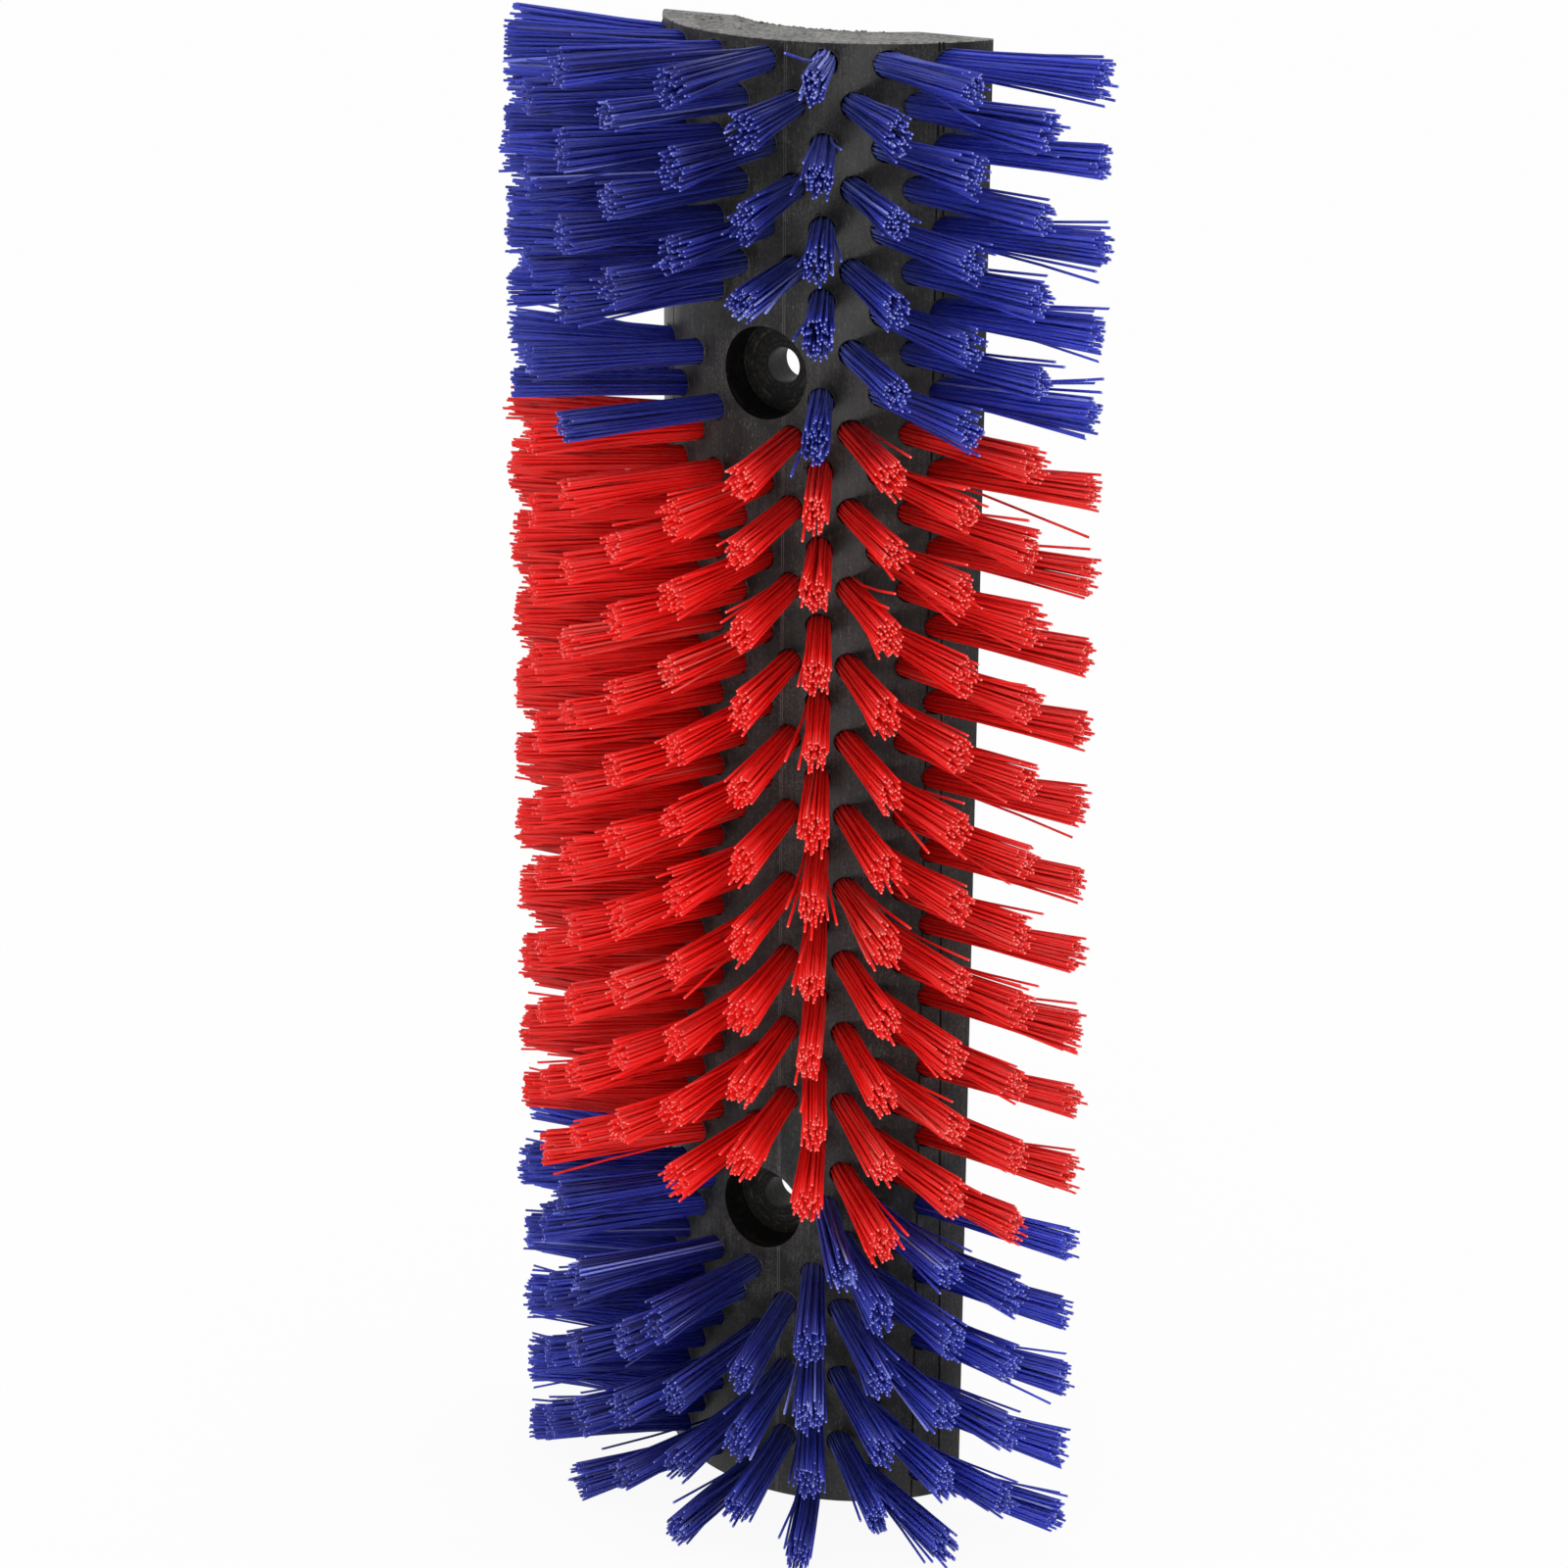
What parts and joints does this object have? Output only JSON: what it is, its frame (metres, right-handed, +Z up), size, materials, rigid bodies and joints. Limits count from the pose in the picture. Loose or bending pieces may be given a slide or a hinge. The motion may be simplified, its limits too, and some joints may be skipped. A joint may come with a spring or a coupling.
{
  "type": "roller brush segment",
  "caption": "Bristled half shell of a rotating roller brush: a black plastic part-cylinder with fanned filament tufts, a hollow channel behind and counterbored bolt holes.",
  "frame": {"origin": "on the ground under the middle of the segment's box, as it stands on its lower end", "axes": "+Z up along the roller's axis, -Y the way the middle tufts and the bolt holes face, +Y the flat back and its channel"},
  "size_m": [0.248, 0.106, 0.59],
  "materials": {
    "shell_plastic": "black polyethylene, machined, with sawn ends",
    "blue_filament": "extruded polypropylene filament, satin",
    "red_filament": "extruded polypropylene filament, satin"
  },
  "bodies": {
    "root": {"brush_shell": "shell_plastic", "blue_tufts_upper": "blue_filament", "red_tufts_upper": "red_filament", "red_tufts_lower": "red_filament", "blue_tufts_lower": "blue_filament"}
  },
  "joints": []
}
